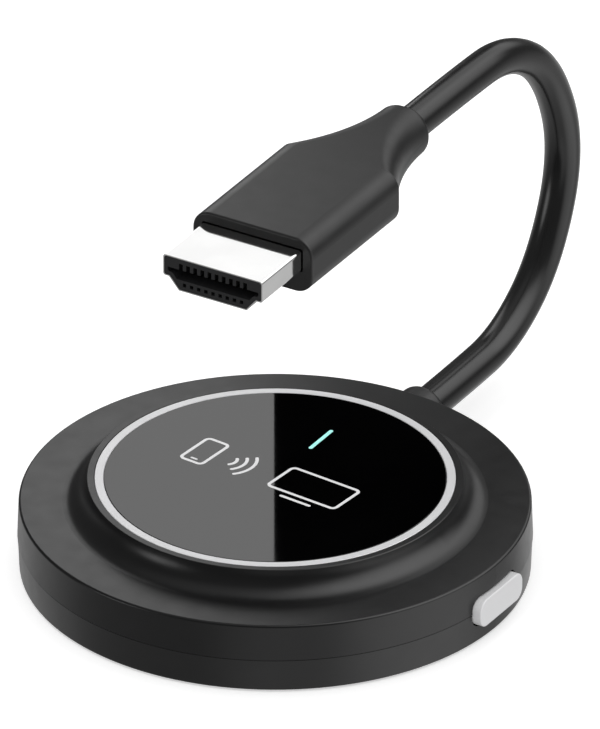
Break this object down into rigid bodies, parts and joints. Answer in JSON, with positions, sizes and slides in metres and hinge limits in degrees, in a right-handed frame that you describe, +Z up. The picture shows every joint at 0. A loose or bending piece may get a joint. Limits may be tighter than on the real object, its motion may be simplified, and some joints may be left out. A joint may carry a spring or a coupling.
{
  "type": "streaming media player",
  "caption": "Round flat wireless streaming receiver with a glossy black top panel, side button, status light and a short captive cord that curves up to a video plug.",
  "frame": {"origin": "centre of the foot's underside, on the axis of the round housing", "axes": "+Z up through the housing; +Y towards the cord's exit; +X towards the side button; the plug points along -Y"},
  "size_m": [0.063, 0.1018, 0.0494],
  "materials": {
    "housing_plastic": "fine satin texture, charcoal black",
    "key_plastic": "satin, pale grey",
    "trim_metal": "fine blasted, bright silver",
    "panel_gloss": "polished black",
    "light_clear": "frosted, lit teal",
    "foot_rubber": "matt",
    "tape": "matt foam tape",
    "screw_steel": "zinc plated",
    "board_mask": "green solder mask",
    "chip_epoxy": "moulded epoxy",
    "can_tin": "tinned",
    "ceramic": "fired ceramic",
    "capacitor": "glazed, tinned ends",
    "ferrite": "pressed ferrite",
    "led_clear": "clear resin over phosphor",
    "gap_pad": "soft silicone",
    "spreader_metal": "mill finish",
    "switch_plastic": "moulded",
    "shell_nickel": "bright nickel plate",
    "connector_plastic": "glass-filled black",
    "contact_gold": "gold flash",
    "cord_pvc": "satin black jacket",
    "hood_pvc": "satin black moulding",
    "inner_pe": "natural inner moulding",
    "wire_insulation": "mixed coloured insulation",
    "solder": "bright solder"
  },
  "bodies": {
    "housing": {"top_cover": "housing_plastic", "bottom_cover": "housing_plastic", "rubber_foot": "foot_rubber", "cover_screws": "screw_steel", "board_screws": "screw_steel", "trim_ring": "trim_metal", "face_panel": "panel_gloss", "panel_adhesive": "tape", "light_pipe": "light_clear", "main_board": "board_mask", "soc_chip": "chip_epoxy", "memory_chips": "chip_epoxy", "flash_chip": "chip_epoxy", "wireless_can": "can_tin", "antennas": "ceramic", "crystal": "can_tin", "inductors": "ferrite", "chip_capacitors": "capacitor", "status_led": "led_clear", "thermal_pad": "gap_pad", "heat_spreader": "spreader_metal", "tact_switch_body": "switch_plastic", "power_inlet_shell": "shell_nickel", "power_inlet_tongue": "connector_plastic", "power_inlet_contacts": "contact_gold", "cord_gland": "hood_pvc", "cord_inner_end": "cord_pvc", "cord_wires": "wire_insulation", "cord_solder_bar": "solder", "cord_jacket": "cord_pvc", "cord_plug_end": "cord_pvc", "plug_hood": "hood_pvc", "plug_inner_mould": "inner_pe", "plug_shell": "shell_nickel", "plug_insulator": "connector_plastic", "plug_contacts": "contact_gold", "plug_board": "board_mask", "plug_wires": "wire_insulation"},
    "button": {"side_button": "key_plastic"},
    "plunger": {"tact_switch_plunger": "key_plastic"}
  },
  "joints": [
    {"name": "button_press", "type": "slide", "parent": "housing", "child": "button", "axis": [-1, 0, 0], "range_m": [0, 0.00035], "stiffness_N_per_m": 1500},
    {"name": "plunger_press", "type": "slide", "parent": "housing", "child": "plunger", "axis": [-1, 0, 0], "range_m": [0, 0.00035]}
  ],
  "couplings": [
    {"joint": "plunger_press", "follows": "button_press", "ratio": 1}
  ]
}
